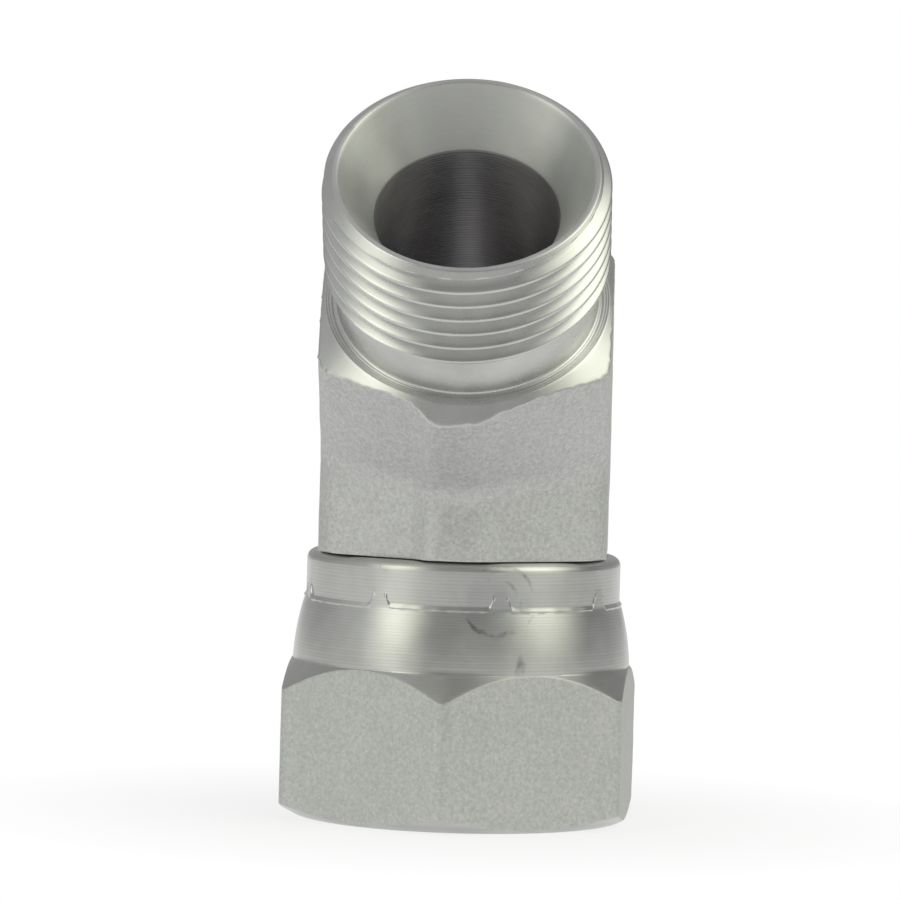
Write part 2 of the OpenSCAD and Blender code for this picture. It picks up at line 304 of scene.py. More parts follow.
def elbow_forging(materials):
    """The body up to the neck, in rings from the stem's tip over the outside and back down the bores."""
    forged, turned, bored = 0, 1, 2
    outline = block_outline()
    x, w = outline[:, 0], outline[:, 1]
    reach = np.hypot(x, w)
    cosine, sine = x / reach, w / reach
    rows, finishes = [], []

    def add(points, finish):
        rows.append(points)
        finishes.append(finish)

    def ring(r, z, finish):
        add(nut_frame(np.full_like(x, z), r * cosine, r * sine), finish)

    def arm_ring(r, s, finish):
        r = np.broadcast_to(r, x.shape)
        add(bend_frame(np.broadcast_to(s, x.shape), r * cosine, r * sine), finish)

    # Stem: tip, 60 degree nose, collar and neck
    stem = line([(STEM_BORE_R, NOSE_TIP + BORE_EDGE), (STEM_BORE_R + BORE_EDGE, NOSE_TIP)], 0.2)
    stem += line([(NOSE_TIP_R - 0.15, NOSE_TIP), (NOSE_TIP_R + 0.04, NOSE_TIP + 0.1)], 0.2)
    stem += line([(NOSE_TIP_R + 0.14, NOSE_TIP + 0.3), (COLLAR_R - 0.08, NOSE_BASE - 0.13)], 0.6)
    stem += line([(COLLAR_R, NOSE_BASE + 0.1), (COLLAR_R, COLLAR_TOP - 0.1)], 0.6)
    stem += line([(COLLAR_R - 0.06, COLLAR_TOP + 0.08), (STEM_NECK_R + 0.15, COLLAR_BACK - 0.12)], 0.5)
    stem += line([(STEM_NECK_R, COLLAR_BACK + 0.15), (STEM_NECK_R, FOOT - 0.3)], 0.8)
    stem += [(STEM_NECK_R + 0.3, FOOT)]
    for r, z in stem:
        ring(r, z, turned)

    # Turned foot, and the edge where it cuts the forged skin
    foot_r = np.minimum(reach, FOOT_CHAMFER_START)
    rise = np.maximum(0, reach - FOOT_CHAMFER_START) * FOOT_CHAMFER
    inner = STEM_NECK_R + 0.6
    for k in range(1, 5):
        r = inner + (foot_r - 0.2 - inner) * k / 4
        add(nut_frame(np.full_like(x, FOOT), r * cosine, r * sine), turned)
    for share, step, up in ((0.0, 0.05, 0.01), (0.5, 0.03, 0.02), (1.0, 0.02, 0.04), (1.0, 0.0, 0.12)):
        r = foot_r + (reach - foot_r) * share - step
        add(nut_frame(FOOT + rise * share + up, r * cosine, r * sine), turned if share < 1 else forged)

    # Forged skin: lower arm, rounded bend and upper arm
    bend_radius = BEND_RADIUS + BEND_SPREAD * w
    trim = bend_radius * HALF_TURN
    low = FOOT + rise + 0.12
    high = BEND_HEIGHT + w * HALF_TURN - trim
    edge = reach + lumps(np.stack([x, w, 0 * x], axis=-1), 1.3, 0.09)
    edge += lumps(np.stack([x, w, 0 * x + 9], axis=-1), 0.45, 0.16)
    top = SHOULDER - (edge - RING_R) * SHOULDER_SLOPE
    skin = []
    for k in range(1, 13):
        t = k / 13
        skin.append(nut_frame(low + (high - low) * t, x, w))
    for k in range(13):
        turn = BEND * k / 12
        y = w - bend_radius * (1 - math.cos(turn))
        skin.append(nut_frame(high + bend_radius * math.sin(turn), x, y))
    start = -w * HALF_TURN + trim
    for k in range(1, 17):
        s = start + (top - 0.2 - start) * k / 16
        skin.append(bend_frame(s, x, w))
    for k, points in enumerate(skin):
        push = lumps(points, 4.5, 0.05) + lumps(points, 1.7, 0.025)
        fade = min(1, k / 4, (len(skin) - 1 - k) / 3)
        points[:, 0] += push * fade * cosine
        points[:, 1] += push * fade * sine
        add(points, forged)

    # Turned shoulder: cone and grooved ring
    arm_ring(edge - 0.004, top - 0.03, forged)
    arm_ring(edge - 0.015, top - 0.006, turned)
    for k in range(1, 9):
        r = (edge - 0.05) * (1 - k / 9) + (RING_R + 0.04) * k / 9
        arm_ring(r, SHOULDER - (r - RING_R) * SHOULDER_SLOPE, turned)
    arm_ring(RING_R + 0.01, SHOULDER - 0.012, turned)
    arm_ring(RING_R - 0.02, SHOULDER, turned)
    for r in np.arange(RING_R - 0.08, NECK_R + 0.14, -0.045):
        groove = sum(depth * math.exp(-((r - place) / GROOVE_WIDTH) ** 2) for place, depth in RING_GROOVES)
        arm_ring(r, SHOULDER - groove, turned)

    # Passages drilled from both ends, down to where their drill points meet
    arm_ring(NECK_R + 0.1, JOINT_S, turned)
    arm_ring(MALE_BORE_R, JOINT_S, bored)
    corner, meet = drilled_meeting(cosine, sine)
    for k in range(1, 13):
        arm_ring(MALE_BORE_R, JOINT_S + (corner - JOINT_S) * k / 12, bored)
    wall_end = bend_frame(corner, MALE_BORE_R * cosine, MALE_BORE_R * sine)
    for k in range(1, 7):
        add(wall_end + (meet - wall_end) * k / 6, bored)
    r = np.hypot(meet[:, 0], meet[:, 1])
    edge_z = np.minimum(meet[:, 2] - 0.04, BEND_HEIGHT)
    edge = nut_frame(edge_z, meet[:, 0] / r * STEM_BORE_R, meet[:, 1] / r * STEM_BORE_R)
    for k in range(1, 5):
        add(meet + (edge - meet) * k / 4, bored)
    foot = nut_frame(np.full_like(x, NOSE_TIP + BORE_EDGE), STEM_BORE_R * cosine, STEM_BORE_R * sine)
    for k in range(1, 14):
        t = k / 14
        turn_to = edge[:, :2] * (1 - t) + foot[:, :2] * t
        turn_to *= STEM_BORE_R / np.hypot(turn_to[:, 0], turn_to[:, 1])[:, None]
        add(nut_frame(edge_z * (1 - t) + foot[:, 2] * t, turn_to[:, 0], turn_to[:, 1]), bored)
    return closed_mesh("forged_body", rows, finishes, materials)


# Hexagon nut with its crimped sleeve

def nut_columns():
    """Directions around the nut, closer together at the hexagon's corners and the die ridges."""
    steps = 14400
    fine = np.linspace(-math.pi, math.pi, steps + 1)[:-1]
    corner = (fine - NUT_TURN + math.pi / 2 + math.pi / 6) % (math.pi / 3) - math.pi / 6
    ridge = (fine + math.pi / 2 - DIE_TURN + math.pi / DIES) % (2 * math.pi / DIES) - math.pi / DIES
    weight = 1 + 9 * np.exp(-(corner / 0.018) ** 2) + 3.5 * np.exp(-(ridge / 0.06) ** 4)
    total = np.concatenate([[0], np.cumsum(weight)])
    wanted = np.arange(NUT_COLUMNS) / NUT_COLUMNS * total[-1]
    return -math.pi + 2 * math.pi * np.interp(wanted, total, np.arange(len(total))) / steps


def sleeve_radius(z):
    """Radius of the bent sleeve, carried on above the ledge by the ridges, which fade into the band."""
    bent = np.clip(z, BEND_START, BAND_START) - BEND_START
    fade = np.clip((z - BAND_START) / RIDGE_HEIGHT, 0, 1)
    radius = SLEEVE_R - SLEEVE_BEND + np.sqrt(SLEEVE_BEND ** 2 - bent ** 2)
    return radius * (1 - fade) + BAND_R * fade


def crimped_nut(materials):
    """The nut without its thread, in rings from the end face over the outside and back down the inside."""
    flat, turned, bored = 0, 1, 2
    angle = nut_columns()
    cosine, sine = np.cos(angle), np.sin(angle)
    off = (angle - NUT_TURN + math.pi / 2) % (math.pi / 3)
    side = np.abs(off - math.pi / 6)
    corner = np.minimum(off, math.pi / 3 - off)
    hexagon = NUT_HALF / np.cos(side) - CORNER_ROUND * np.exp(-(corner / CORNER_SPAN) ** 2)
    rows, finishes = [], []

    def add(r, z, finish):
        r, z = np.broadcast_to(r, angle.shape), np.broadcast_to(z, angle.shape)
        rows.append(nut_frame(z, r * cosine, r * sine))
        finishes.append(finish)

    # End face, lower chamfer, flats and upper chamfer
    for r in (MOUTH_R + 0.02, 14.3, 15.0, END_FACE_R - 0.12):
        add(r, 0.0, turned)
    add(END_FACE_R - 0.03, 0.015, turned)
    low = (hexagon - END_FACE_R) * HEX_BOTTOM_SLOPE
    for t in (0.05, 0.3, 0.6, 0.9):
        add(END_FACE_R + (hexagon - END_FACE_R) * t, low * t + 0.01, turned)
    add(hexagon - 0.06, low - 0.01, turned)
    add(hexagon - 0.015, low + 0.04, flat)
    high = HEX_CORNER_HEIGHT + (NUT_CORNER - hexagon) * HEX_TOP_SLOPE
    for t in np.linspace(0.015, 0.985, 22):
        z = low + (high - low) * t
        points = np.stack([hexagon * cosine, hexagon * sine, z], axis=-1)
        fade = min(1, t * 12, (1 - t) * 12)
        add(hexagon + (lumps(points, 5.0, 0.035) + lumps(points, 1.5, 0.02)) * fade, z, flat)
    add(hexagon - 0.01, high - 0.05, flat)
    add(hexagon - 0.05, high + 0.03, turned)
    for t in (0.2, 0.4, 0.6, 0.8, 0.95):
        r = hexagon - 0.05 + (HEX_TOP_R + 0.03 - hexagon) * t
        add(r, high + 0.03 + (HEX_TOP - high - 0.05) * t, turned)
    add(HEX_TOP_R - 0.01, HEX_TOP + 0.06, turned)

    # Bent sleeve up to the ledge that the dies left
    which = (angle + math.pi / 2 - DIE_TURN) / (2 * math.pi / DIES)
    die = np.floor(which).astype(int) % DIES
    across = which - np.floor(which)
    near = np.minimum(across, 1 - across) * 2 * math.pi / DIES * BAND_R
    bulge = np.array(DIE_BULGES)[die]
    curl = CURL_HEIGHT * np.exp(-(np.maximum(0, near - RIDGE_WIDTH / 2) / CURL_WIDTH) ** 2)
    ledge_z = BAND_START + np.array(DIE_DROPS)[die] + curl
    last_even = BAND_START - 0.55
    for z in np.linspace(HEX_TOP + 0.35, last_even, 18):
        add(sleeve_radius(z), z, turned)
    for share in (0.3, 0.45, 0.6, 0.8):
        z = last_even + (ledge_z - 0.3 - last_even) * share
        add(sleeve_radius(z), z, turned)
    ridge = np.clip((RIDGE_WIDTH / 2 + 0.1 - near) / 0.3, 0, 1)
    ridge = ridge * ridge * (3 - 2 * ridge)
    burr = (1 - ridge) * (0.08 + 0.04 * np.sin(angle * 31) * np.sin(angle * 13 + 1))
    for down in (0.3, 0.16):
        add(sleeve_radius(ledge_z - down), ledge_z - down, turned)
    add(sleeve_radius(ledge_z) + burr, ledge_z - 0.06, turned)
    add(sleeve_radius(ledge_z) + burr * 0.9, ledge_z, turned)
    band = BAND_R + bulge * 0.5 - 0.03 * np.sin(across * math.pi)
    last = NUT_TOP - RIM_RADIUS
    for up in (0.3, 0.36, 0.48, 0.66, 0.9, 1.2, 1.5, 1.9, 2.4, 2.9):
        z = np.minimum(ledge_z + up, last - 0.05)
        add(band + (sleeve_radius(z) - band) * ridge, z, turned)
    for k in range(11):
        turn = math.pi / 2 * k / 10
        r = BAND_R - RIM_RADIUS * (1 - math.cos(turn))
        add(r + (band - BAND_R) * (1 - k / 10), last + RIM_RADIUS * math.sin(turn), turned)

    # Top face, crimped lip, rear bore and relief
    for r, z in line([(BAND_R - RIM_RADIUS - 0.4, NUT_TOP), (LIP_R + 0.3, NUT_TOP)], 0.6):
        add(r, z, turned)
    inside = line([(LIP_R, NUT_TOP - 0.25), (LIP_R, LIP_FULL)], 0.8)
    inside += line([(LIP_R + 0.1, LIP_FULL - 0.12), (REAR_BORE_R, LIP_START)], 0.5)[:-1]
    inside += line([(REAR_BORE_R, LIP_START), (REAR_BORE_R, RELIEF_END)], 0.6)
    inside += line([(RELIEF_R, RELIEF_END), (RELIEF_R, THREAD_END)], 0.8)
    inside += line([(MOUTH_R + 0.02, THREAD_END), (MOUTH_R + 0.02, 0.1)], 1.0)
    for r, z in inside:
        add(r, z, bored)
    return closed_mesh("crimped_nut", rows, finishes, materials)


# Geometry Nodes tree that turns an outline and cuts the thread into it

def threaded_form_tree():
    """The tree and the identifiers of its inputs; lengths go in in metres."""
    tree = bpy.data.node_groups.new("turned and threaded form", "GeometryNodeTree")
    face = tree.interface
    sockets = {}
    for label, kind in (("Outline", "NodeSocketGeometry"), ("Columns", "NodeSocketInt"),
                        ("Pitch", "NodeSocketFloat"), ("Major radius", "NodeSocketFloat"),
                        ("Thread depth", "NodeSocketFloat"), ("Thread start", "NodeSocketFloat"),
                        ("Phase", "NodeSocketFloat"), ("Internal", "NodeSocketBool"),
                        ("Unevenness", "NodeSocketFloat"), ("Place", "NodeSocketVector"),
                        ("Turn", "NodeSocketVector"), ("Finish", "NodeSocketMaterial")):
        sockets[label] = face.new_socket(label, in_out="INPUT", socket_type=kind).identifier
    face.new_socket("Form", in_out="OUTPUT", socket_type="NodeSocketGeometry")
    nodes, links = tree.nodes, tree.links
    given = nodes.new("NodeGroupInput")
    result = nodes.new("NodeGroupOutput")

    def math_node(operation, a, b=None, c=None):
        node = nodes.new("ShaderNodeMath")
        node.operation = operation
        for socket, value in zip(node.inputs, (a, b, c)):
            if value is None:
                continue
            if isinstance(value, (int, float)):
                socket.default_value = value
            else:
                links.new(value, socket)
        return node.outputs[0]

    size = nodes.new("GeometryNodeAttributeDomainSize")
    links.new(given.outputs["Outline"], size.inputs["Geometry"])
    rows = size.outputs["Point Count"]
    high = math_node("ADD", rows, 1)
    grid = nodes.new("GeometryNodeMeshGrid")
    links.new(math_node("ADD", given.outputs["Columns"], 1), grid.inputs["Vertices X"])
    links.new(high, grid.inputs["Vertices Y"])

    index = nodes.new("GeometryNodeInputIndex").outputs[0]
    column = math_node("FLOOR", math_node("DIVIDE", math_node("ADD", index, 0.5), high))
    row = math_node("SUBTRACT", index, math_node("MULTIPLY", column, high))
    row = math_node("MODULO", math_node("ROUND", row), rows)
    sample = nodes.new("GeometryNodeSampleIndex")
    sample.data_type = "FLOAT_VECTOR"
    sample.domain = "POINT"
    links.new(given.outputs["Outline"], sample.inputs["Geometry"])
    links.new(nodes.new("GeometryNodeInputPosition").outputs[0], sample.inputs["Value"])
    links.new(row, sample.inputs["Index"])
    parts = nodes.new("ShaderNodeSeparateXYZ")
    links.new(sample.outputs[0], parts.inputs[0])
    radius, along = parts.outputs[0], parts.outputs[2]
    turn = math_node("DIVIDE", column, given.outputs["Columns"])
    around = math_node("MODULO", turn, 1.0)
    angle = math_node("MULTIPLY", around, 2 * math.pi)

    # Rounded thread form: 0 at the crest, 1 at the root, right handed
    winding = math_node("SUBTRACT", math_node("DIVIDE", along, given.outputs["Pitch"]), around)
    winding = math_node("FRACT", math_node("ADD", winding, given.outputs["Phase"]))
    valley = math_node("ABSOLUTE", math_node("MULTIPLY_ADD", winding, 2.0, -1.0))
    valley = math_node("SUBTRACT", 1.0, valley)
    flank = math_node("MULTIPLY_ADD", valley, 1.5, -0.25)
    flank = math_node("SMOOTH_MIN", flank, 1.0, 0.3)
    flank = math_node("SMOOTH_MAX", flank, 0.0, 0.3)
    cut = math_node("SUBTRACT", given.outputs["Major radius"],
                    math_node("MULTIPLY", flank, given.outputs["Thread depth"]))
    outer = math_node("MINIMUM", radius, cut)
    inner = math_node("MAXIMUM", radius, cut)
    inside = given.outputs["Internal"]
    threaded = math_node("ADD", math_node("MULTIPLY", inside, inner),
                         math_node("MULTIPLY", math_node("SUBTRACT", 1.0, inside), outer))
    begun = math_node("GREATER_THAN", along, given.outputs["Thread start"])
    change = math_node("MULTIPLY", math_node("SUBTRACT", threaded, radius), begun)

    spin = nodes.new("ShaderNodeCombineXYZ")
    links.new(math_node("COSINE", angle), spin.inputs[0])
    links.new(math_node("SINE", angle), spin.inputs[1])
    links.new(math_node("MULTIPLY", along, 400.0), spin.inputs[2])
    grain = nodes.new("ShaderNodeTexNoise")
    grain.inputs["Scale"].default_value = 2.2
    grain.inputs["Detail"].default_value = 2.0
    links.new(spin.outputs[0], grain.inputs["Vector"])
    worn = math_node("MULTIPLY", math_node("SUBTRACT", grain.outputs[0], 0.5), given.outputs["Unevenness"])
    moved = math_node("GREATER_THAN", math_node("ABSOLUTE", change), 1e-7)
    change = math_node("ADD", change, math_node("MULTIPLY", worn, moved))
    final = math_node("ADD", radius, change)

    place = nodes.new("ShaderNodeCombineXYZ")
    links.new(math_node("MULTIPLY", final, math_node("COSINE", angle)), place.inputs[0])
    links.new(math_node("MULTIPLY", final, math_node("SINE", angle)), place.inputs[1])
    links.new(along, place.inputs[2])
    shape = nodes.new("GeometryNodeSetPosition")
    links.new(grid.outputs["Mesh"], shape.inputs["Geometry"])
    links.new(place.outputs[0], shape.inputs["Position"])
    weld = nodes.new("GeometryNodeMergeByDistance")
    weld.inputs["Distance"].default_value = 1e-6
    links.new(shape.outputs[0], weld.inputs["Geometry"])
    move = nodes.new("GeometryNodeTransform")
    links.new(weld.outputs[0], move.inputs["Geometry"])
    links.new(given.outputs["Place"], move.inputs["Translation"])
    links.new(given.outputs["Turn"], move.inputs["Rotation"])
    real = nodes.new("GeometryNodeRealizeInstances")
    links.new(move.outputs[0], real.inputs[0])
    paint = nodes.new("GeometryNodeSetMaterial")
    links.new(real.outputs[0], paint.inputs["Geometry"])
    links.new(given.outputs["Finish"], paint.inputs["Material"])
    links.new(paint.outputs[0], result.inputs[0])
    return tree, sockets


# What the outer and the inner thread have in common
THREAD_FORM = {"Columns": THREAD_COLUMNS, "Pitch": PITCH * MM, "Major radius": THREAD_R * MM,
               "Thread depth": (THREAD_R - ROOT_R) * MM, "Unevenness": THREAD_UNEVENNESS * MM}


def threaded_piece(name, outline, tree, sockets, values, inner=()):
    """A plain mesh from the tree, turned from an outline of (radius, distance along the axis).

    Each entry of inner gives a finish to the faces inside a radius and below a distance along the axis.
    """
    mesh = bpy.data.meshes.new(name + "_outline")
    mesh.from_pydata([(r * MM, 0, z * MM) for r, z in outline], [], [])
    source = bpy.data.objects.new(name + "_outline", mesh)
    bpy.context.scene.collection.objects.link(source)
    modifier = source.modifiers.new("thread", "NODES")
    modifier.node_group = tree
    for label, value in values.items():
        modifier[sockets[label]] = value
    source.update_tag()
    bpy.context.view_layer.update()
    depsgraph = bpy.context.evaluated_depsgraph_get()
    made = bpy.data.meshes.new_from_object(source.evaluated_get(depsgraph))
    made.name = name
    source.modifiers.clear()
    bpy.data.objects.remove(source)
    points = np.zeros(len(made.vertices) * 3)
    made.vertices.foreach_get("co", points)
    points = points.reshape(-1, 3)
    made.calc_loop_triangles()
    corners = np.zeros(len(made.loop_triangles) * 3, int)
    made.loop_triangles.foreach_get("vertices", corners)
    a, b, c = (points[corners.reshape(-1, 3)[:, k]] for k in range(3))
    if np.einsum("ij,ij->", a, np.cross(b, c)) < 0:
        made.flip_normals()
    finish_mesh(made)
    for radius, depth, finish in inner:
        made.materials.append(finish)
        turn = Matrix.Rotation(-values["Turn"][0], 3, "X")
        for face in made.polygons:
            middle = turn @ (face.center - Vector(values["Place"])) / MM
            if math.hypot(middle.x, middle.y) < radius and middle.z < depth:
                face.material_index = len(made.materials) - 1
    piece = bpy.data.objects.new(name, made)
    bpy.context.scene.collection.objects.link(piece)
    return piece


def male_end(tree, sockets, outside, seat, bore):
    """Neck, thread, end face, cone seat and the first stretch of the bore."""
    outline = [(MALE_BORE_R, JOINT_S), (NECK_R + NECK_FILLET, JOINT_S)]
    for k in range(7):
        turn = math.pi / 2 * k / 6
        r = NECK_R + NECK_FILLET * (1 - math.sin(turn))
        outline.append((r, SHOULDER + NECK_FILLET * (1 - math.cos(turn))))
    outline += line([(NECK_R, SHOULDER + 0.6), (NECK_R, NECK_END - 0.08)], 0.5)
    outline += line([(NECK_R, NECK_END), (THREAD_R, NECK_END + THREAD_R - NECK_R)], 0.07)[:-1]
    lead = MALE_REACH - (THREAD_R - FACE_R)
    outline += line([(THREAD_R, NECK_END + THREAD_R - NECK_R), (THREAD_R, lead)], 0.07)[:-1]
    outline += line([(THREAD_R, lead), (FACE_R + 0.04, MALE_REACH - 0.04)], 0.07)
    outline += [(FACE_R - 0.03, MALE_REACH), (SEAT_R + 0.05, MALE_REACH)]
    outline += line([(SEAT_R - 0.03, MALE_REACH - 0.06), (MALE_BORE_R + 0.04, SEAT_END + 0.07)], 0.35)
    outline += line([(MALE_BORE_R, SEAT_END - 0.03), (MALE_BORE_R, JOINT_S)], 0.7)[:-1]
    values = {**THREAD_FORM, "Thread start": (NECK_END - 0.05) * MM, "Phase": 0.42, "Internal": False,
              "Place": (0, 0, BEND_HEIGHT * MM), "Turn": (BEND, 0, 0), "Finish": outside}
    inner = ((SEAT_R + 0.01, MALE_REACH - 0.02, seat), (MALE_BORE_R + 0.03, SEAT_END + 0.05, bore))
    return threaded_piece("male_end", outline, tree, sockets, values, inner)


def nut_thread(tree, sockets, finish):
    """The nut's thread with its lead-in, as a sleeve inside the crimped nut."""
    outline = [(MOUTH_R, THREAD_END), (MOUTH_R, 0)]
    outline += line([(MOUTH_R - 0.03, 0.02), (ROOT_R, MOUTH_DEPTH)], 0.07)[:-1]
    outline += line([(ROOT_R, MOUTH_DEPTH), (ROOT_R, THREAD_END)], 0.07)
    values = {**THREAD_FORM, "Thread start": -1 * MM, "Phase": 0.1, "Internal": True,
              "Place": (0, 0, 0), "Turn": (0, 0, 0), "Finish": finish}
    return threaded_piece("nut_thread", outline, tree, sockets, values)


# Materials

# Stains on the nut: centre, radius, and how much shorter than wide each one is
NUT_STAINS = (((3.9, -14.5, 21.6), 3.5, 1.1),
              ((3.4, -14.6, 21.0), 2.7, 1.05),
              ((6.0, -14.7, 14.6), 0.5, 0.4))
# Pitch of the drill's rings in the bores, in metres
BORE_FEED = 0.00033


class Nodes:
    """A node tree and the few recipes that the finishes and the studio share."""

    def __init__(self, tree):
        self.tree = tree

    def node(self, kind, **values):
        node = self.tree.nodes.new(kind)
        for key, value in values.items():
            setattr(node, key, value)
        return node

    def put(self, value, socket):
        if isinstance(value, bpy.types.NodeSocket):
            self.tree.links.new(value, socket)
        else:
            socket.default_value = value

    def calc(self, operation, a, b=0.0, c=0.0):
        node = self.node("ShaderNodeMath", operation=operation)
        for value, socket in zip((a, b, c), node.inputs):
            self.put(value, socket)
        return node.outputs[0]

    def vector(self, operation, a, b=(0, 0, 0)):
        node = self.node("ShaderNodeVectorMath", operation=operation)
        self.put(a, node.inputs[0])
        self.put(b, node.inputs[1])
        return node.outputs["Value"] if operation in ("LENGTH", "DOT_PRODUCT") else node.outputs[0]

    def ramp(self, value, stops):
        node = self.node("ShaderNodeValToRGB")
        self.put(value, node.inputs[0])
        elements = node.color_ramp.elements
        while len(elements) < len(stops):
            elements.new(0.5)
        for element, (position, colour) in zip(elements, stops):
            element.position = position
            element.color = (*colour, 1.0)
        return node.outputs[0]

    def range(self, value, low, high, to_low, to_high, kind="LINEAR"):
        node = self.node("ShaderNodeMapRange", interpolation_type=kind)
        for given, socket in zip((value, low, high, to_low, to_high), node.inputs):
            self.put(given, socket)
        return node.outputs[0]

    def mix(self, share, a, b, blend="MIX"):
        node = self.node("ShaderNodeMix", data_type="RGBA", blend_type=blend)
        self.put(share, node.inputs[0])
        for value, socket in ((a, node.inputs[6]), (b, node.inputs[7])):
            self.put((*value, 1.0) if isinstance(value, tuple) else value, socket)
        return node.outputs[2]


class Finish(Nodes):
    """One material, and what only the finishes need."""

    def __init__(self, name, roughness, metallic=1.0, anisotropic=0.0):
        self.material = bpy.data.materials.new(name)
        self.material.use_nodes = True
        super().__init__(self.material.node_tree)
        self.shader = self.tree.nodes["Principled BSDF"]
        self.shader.inputs["Metallic"].default_value = metallic
        self.shader.inputs["Roughness"].default_value = roughness
        self.shader.inputs["Anisotropic"].default_value = anisotropic
        self.place = self.node("ShaderNodeTexCoord").outputs["Object"]

    def grain(self, scale, detail=3.0, rough=0.6):
        node = self.node("ShaderNodeTexNoise")
        self.put(self.place, node.inputs["Vector"])
        node.inputs["Scale"].default_value = scale
        node.inputs["Detail"].default_value = detail
        node.inputs["Roughness"].default_value = rough
        return node.outputs[0]

    def lines(self, value, scale, detail):
        node = self.node("ShaderNodeTexNoise", noise_dimensions="1D")
        self.put(value, node.inputs["W"])
        node.inputs["Scale"].default_value = scale
        node.inputs["Detail"].default_value = detail
        node.inputs["Roughness"].default_value = 0.7
        return node.outputs[0]

    def bump(self, height, strength, distance):
        node = self.node("ShaderNodeBump")
        node.inputs["Strength"].default_value = strength
        node.inputs["Distance"].default_value = distance
        self.put(height, node.inputs["Height"])
        return node.outputs[0]

    def arm_place(self):
        """The point in the male arm's own frame, with Z along the arm."""
        node = self.node("ShaderNodeMapping", vector_type="TEXTURE")
        self.put(self.place, node.inputs["Vector"])
        node.inputs["Location"].default_value = (0, 0, BEND_HEIGHT * MM)
        node.inputs["Rotation"].default_value = (BEND, 0, 0)
        return node.outputs[0]

    def turning(self, point):
        """Distance along the axis less a share of the radius, which changes across every turned line."""
        parts = self.node("ShaderNodeSeparateXYZ")
        self.put(point, parts.inputs[0])
        radius = self.vector("LENGTH", self.vector("MULTIPLY", point, (1, 1, 0)))
        return self.calc("MULTIPLY_ADD", radius, -0.7, parts.outputs[2])

    def spread_across_turning(self, arm):
        """Lets highlights spread across the lines that turning leaves around the axis."""
        axis = (0, -math.sin(BEND), math.cos(BEND)) if arm else (0, 0, 1)
        centred = self.vector("SUBTRACT", self.place, (0, 0, BEND_HEIGHT * MM)) if arm else self.place
        around = self.vector("CROSS_PRODUCT", axis, centred)
        normal = self.node("ShaderNodeNewGeometry").outputs["Normal"]
        across_lines = self.vector("NORMALIZE", self.vector("CROSS_PRODUCT", around, normal))
        self.put(across_lines, self.shader.inputs["Tangent"])


def forged_zinc(name, tones):
    """Matte zinc plating on a forged or drawn skin: cloudy, finely pitted, faintly sparkling."""
    low, high = tones
    finish = Finish(name, 0.62)
    cloud = finish.grain(260, 3.0, 0.6)
    fine = finish.grain(4000, 2.0, 0.65)
    speck = finish.grain(2400, 2.0, 0.5)
    glint = finish.grain(6500, 1.0, 0.5)
    tone = finish.calc("MULTIPLY_ADD", fine, 0.55, finish.calc("MULTIPLY", cloud, 0.1))
    tone = finish.calc("MULTIPLY_ADD", speck, 0.35, tone)
    colour = finish.ramp(tone, ((0.38, low), (0.62, high)))
    pits = finish.range(speck, 0.74, 0.8, 0.0, 0.35)
    colour = finish.mix(pits, colour, (0.24, 0.24, 0.22))
    colour = finish.mix(finish.range(glint, 0.69, 0.75, 0.0, 0.55), colour, (0.9, 0.9, 0.86))
    finish.put(colour, finish.shader.inputs["Base Color"])
    finish.put(finish.range(fine, 0.3, 0.7, 0.56, 0.68), finish.shader.inputs["Roughness"])
    height = finish.calc("MULTIPLY_ADD", fine, 0.6, finish.calc("MULTIPLY", speck, 0.4))
    finish.put(finish.bump(height, 0.35, 0.00005), finish.shader.inputs["Normal"])
    return finish.material


def stained(finish, colour, centre, radius, squeeze=1.0):
    """A faint dried stain with a darker, broken rim; centre and radius in millimetres."""
    offset = finish.vector("SUBTRACT", finish.place, tuple(c * MM for c in centre))
    away = finish.vector("LENGTH", finish.vector("MULTIPLY", offset, (1, 1, squeeze)))
    wander = finish.calc("MULTIPLY_ADD", finish.grain(420, 3.0), 0.0012, -0.0006)
    away = finish.calc("ADD", away, wander)
    rim = finish.calc("ABSOLUTE", finish.calc("SUBTRACT", away, radius * MM))
    rim = finish.range(rim, 0.0, 0.00026, 0.7, 0.0)
    broken = finish.range(finish.grain(330, 3.0), 0.44, 0.57, 0.0, 1.0)
    inside = finish.range(away, radius * MM * 0.8, radius * MM, 0.22, 0.0)
    colour = finish.mix(inside, colour, (0.42, 0.43, 0.44))
    return finish.mix(finish.calc("MULTIPLY", rim, broken), colour, (0.2, 0.2, 0.19))


def turned_zinc(name, tones, arm, feed, depth, contrast, roughness=0.3, anisotropic=0.8, stains=()):
    """Satin zinc plating over turned steel: feed marks of a regular pitch and depth, in metres.

    The marks also show in the colour, as much as contrast says.
    """
    low, high = tones
    finish = Finish(name, roughness, anisotropic=anisotropic)
    point = finish.arm_place() if arm else finish.place
    across = finish.turning(point)
    drift = finish.lines(across, 0.2 / feed, 2.0)
    fine = finish.lines(across, 0.9 / feed, 1.0)
    marks = finish.calc("SINE", finish.calc("MULTIPLY_ADD", across, 2 * math.pi / feed,
                                            finish.calc("MULTIPLY", drift, 3.0)))
    height = finish.calc("MULTIPLY_ADD", marks, 0.35, finish.calc("MULTIPLY_ADD", fine, 0.5, 0.25))
    cloud = finish.grain(170, 3.0, 0.6)
    level = finish.calc("MULTIPLY_ADD", cloud, 0.6, 0.15 - contrast / 2)
    tone = finish.calc("MULTIPLY_ADD", height, contrast, level)
    colour = finish.ramp(tone, ((0.28, low), (0.6, high)))
    for centre, radius, squeeze in stains:
        colour = stained(finish, colour, centre, radius, squeeze)
    finish.put(colour, finish.shader.inputs["Base Color"])
    rough = finish.calc("MULTIPLY_ADD", cloud, 0.12, roughness - 0.06)
    finish.put(rough, finish.shader.inputs["Roughness"])
    finish.put(finish.bump(height, 1.0, depth), finish.shader.inputs["Normal"])
    finish.spread_across_turning(arm)
    return finish.material


